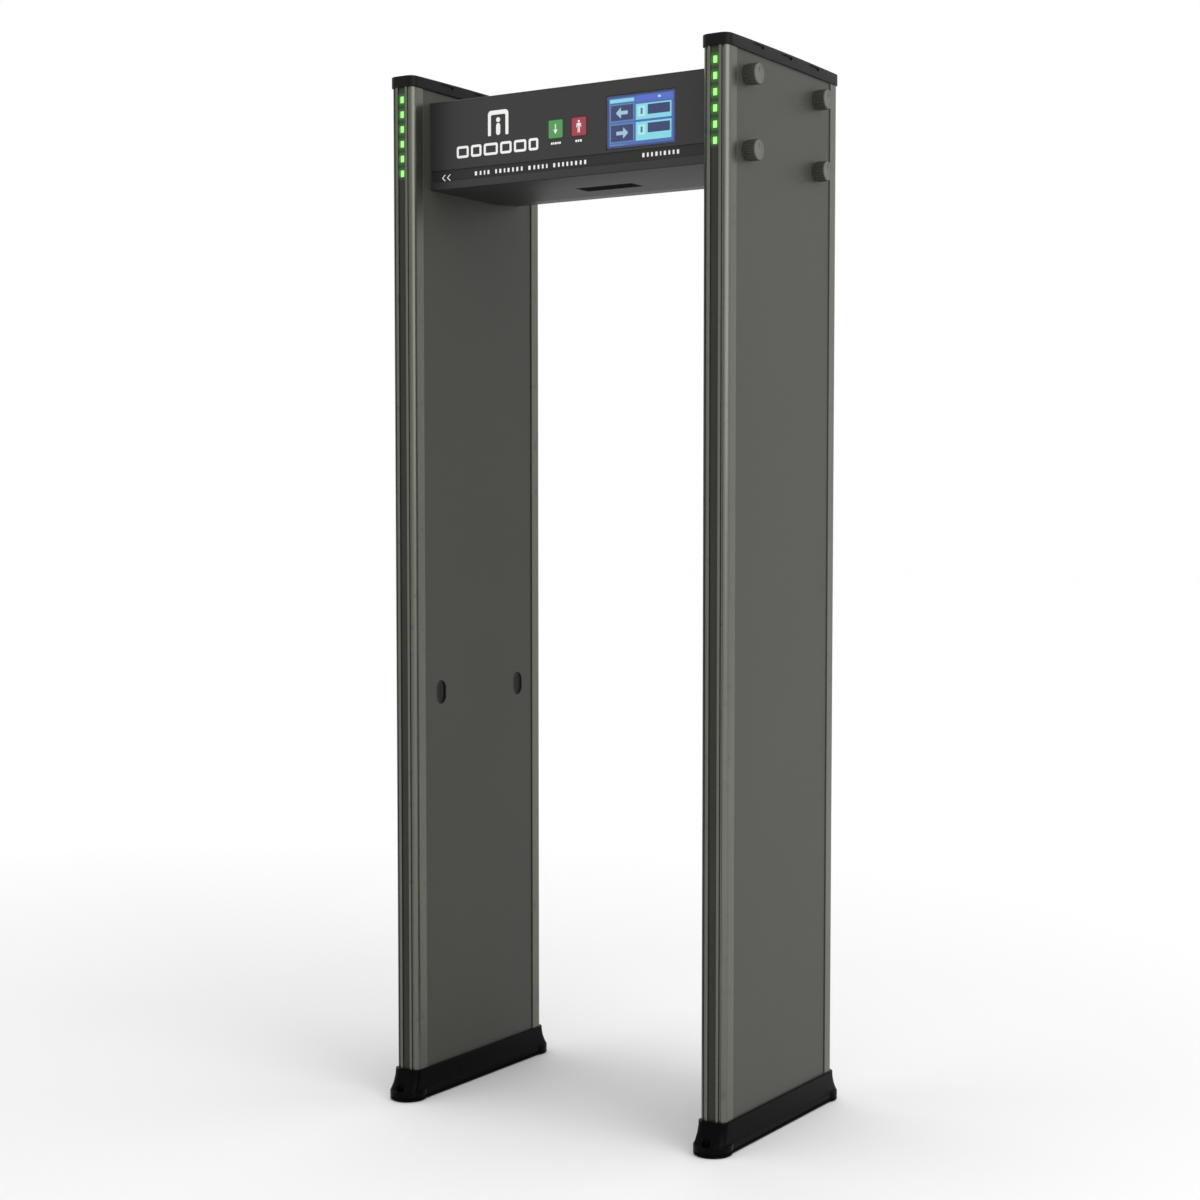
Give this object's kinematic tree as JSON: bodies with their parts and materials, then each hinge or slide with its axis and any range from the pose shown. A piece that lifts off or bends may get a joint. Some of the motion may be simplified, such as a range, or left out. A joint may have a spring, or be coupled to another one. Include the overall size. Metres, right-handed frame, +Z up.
{
  "type": "walk-through metal detector gate",
  "caption": "Walk-through metal detector gate: panelled posts on flared feet, joined by a control crossbar with display, lamps and hand knobs.",
  "frame": {"origin": "on the floor, in the middle of the gate (bottom centre of the bounding box)", "axes": "+X across the passage to the right seen from the approach side, +Y through the passage away from the approach side, +Z up"},
  "size_m": [0.868, 0.552, 2.2],
  "materials": {
    "anodised_profile": "satin anodised dark grey extrusion",
    "grey_laminate": "fine-grained grey laminate sheet",
    "seal_rubber": "matt",
    "strip_plastic": "smoked cover strip",
    "led_lens": "lit green lens",
    "green_circuit_board": "solder-masked board",
    "foam_board": "rigid foam board",
    "coil_copper": "varnished winding",
    "smoked_window": "dark infrared window",
    "black_module": "moulded",
    "black_moulding": "satin moulded",
    "pad_rubber": "matt",
    "bar_paint": "satin powder coat",
    "trim_paint": "satin powder coat",
    "grille_metal": "matt black",
    "display_glass": "clear polished",
    "display_lit": "lit colour display",
    "green_lens": "lit green lens",
    "red_lens": "lit red lens",
    "supply_case": "zinc-plated case",
    "plated_steel": "zinc-plated",
    "knob_plastic": "moulded, fluted"
  },
  "bodies": {
    "frame": {"bar_bottom_plate": "bar_paint", "bar_end_plates": "bar_paint", "bar_fascia": "bar_paint", "bar_lower_trim": "trim_paint", "bar_rear_frame": "bar_paint", "bar_top_cover": "bar_paint", "bolt_sleeves": "plated_steel", "cable_grommets": "seal_rubber", "display_board": "green_circuit_board", "display_frame": "black_module", "display_panel": "display_lit", "display_window": "display_glass", "door_hinge_pins": "plated_steel", "door_hinges": "plated_steel", "end_plate_nuts": "plated_steel", "foot_pads": "pad_rubber", "green_lamp": "green_lens", "lamp_holders": "black_module", "led_boards": "green_circuit_board", "led_windows": "led_lens", "left_coil_board": "foam_board", "left_foot": "black_moulding", "left_front_profile": "anodised_profile", "left_inner_panel": "grey_laminate", "left_outer_panel": "grey_laminate", "left_rear_profile": "anodised_profile", "left_top_cap": "black_moulding", "light_strips": "strip_plastic", "main_board": "green_circuit_board", "panel_seals": "seal_rubber", "power_inlet": "black_module", "power_supply": "supply_case", "rear_strips": "strip_plastic", "receiver_coils": "coil_copper", "red_lamp": "red_lens", "right_coil_board": "foam_board", "right_foot": "black_moulding", "right_front_profile": "anodised_profile", "right_inner_panel": "grey_laminate", "right_outer_panel": "grey_laminate", "right_rear_profile": "anodised_profile", "right_top_cap": "black_moulding", "sensor_modules": "black_module", "sensor_windows": "smoked_window", "sounder": "black_module", "sounder_grille": "grille_metal", "transmitter_coil": "coil_copper"},
    "left_lower_front_knob_body": {"left_lower_front_knob": "knob_plastic"},
    "left_lower_rear_knob_body": {"left_lower_rear_knob": "knob_plastic"},
    "left_upper_front_knob_body": {"left_upper_front_knob": "knob_plastic"},
    "left_upper_rear_knob_body": {"left_upper_rear_knob": "knob_plastic"},
    "right_lower_front_knob_body": {"right_lower_front_knob": "knob_plastic"},
    "right_lower_rear_knob_body": {"right_lower_rear_knob": "knob_plastic"},
    "right_upper_front_knob_body": {"right_upper_front_knob": "knob_plastic"},
    "right_upper_rear_knob_body": {"right_upper_rear_knob": "knob_plastic"},
    "door": {"service_door": "bar_paint", "lock_housings": "plated_steel"},
    "left_lock_plug": {"left_lock": "plated_steel"},
    "right_lock_plug": {"right_lock": "plated_steel"},
    "rocker": {"power_rocker": "black_module"}
  },
  "joints": [
    {"name": "left_lower_front_knob_turn", "type": "hinge", "parent": "frame", "child": "left_lower_front_knob_body", "pos_m": [-0.42, -0.161, 1.9815], "axis": [-1, 0, 0], "continuous": true},
    {"name": "left_lower_rear_knob_turn", "type": "hinge", "parent": "frame", "child": "left_lower_rear_knob_body", "pos_m": [-0.42, 0.143, 1.9815], "axis": [-1, 0, 0], "continuous": true},
    {"name": "left_upper_front_knob_turn", "type": "hinge", "parent": "frame", "child": "left_upper_front_knob_body", "pos_m": [-0.42, -0.161, 2.1285], "axis": [-1, 0, 0], "continuous": true},
    {"name": "left_upper_rear_knob_turn", "type": "hinge", "parent": "frame", "child": "left_upper_rear_knob_body", "pos_m": [-0.42, 0.143, 2.1285], "axis": [-1, 0, 0], "continuous": true},
    {"name": "right_lower_front_knob_turn", "type": "hinge", "parent": "frame", "child": "right_lower_front_knob_body", "pos_m": [0.42, -0.161, 1.9815], "axis": [1, 0, 0], "continuous": true},
    {"name": "right_lower_rear_knob_turn", "type": "hinge", "parent": "frame", "child": "right_lower_rear_knob_body", "pos_m": [0.42, 0.143, 1.9815], "axis": [1, 0, 0], "continuous": true},
    {"name": "right_upper_front_knob_turn", "type": "hinge", "parent": "frame", "child": "right_upper_front_knob_body", "pos_m": [0.42, -0.161, 2.1285], "axis": [1, 0, 0], "continuous": true},
    {"name": "right_upper_rear_knob_turn", "type": "hinge", "parent": "frame", "child": "right_upper_rear_knob_body", "pos_m": [0.42, 0.143, 2.1285], "axis": [1, 0, 0], "continuous": true},
    {"name": "service_door_swing", "type": "hinge", "parent": "frame", "child": "door", "pos_m": [0, 0.1652, 2.119], "axis": [1, 0, 0], "range_deg": [0, 100]},
    {"name": "left_lock_turn", "type": "hinge", "parent": "door", "child": "left_lock_plug", "pos_m": [-0.15, 0.158, 2.006], "axis": [0, -1, 0], "range_deg": [0, 90]},
    {"name": "right_lock_turn", "type": "hinge", "parent": "door", "child": "right_lock_plug", "pos_m": [0.15, 0.158, 2.006], "axis": [0, 1, 0], "range_deg": [0, 90]},
    {"name": "power_rocker_tilt", "type": "hinge", "parent": "frame", "child": "rocker", "pos_m": [0.2888, 0.1585, 2.028], "axis": [1, 0, 0], "range_deg": [0, 20]}
  ]
}
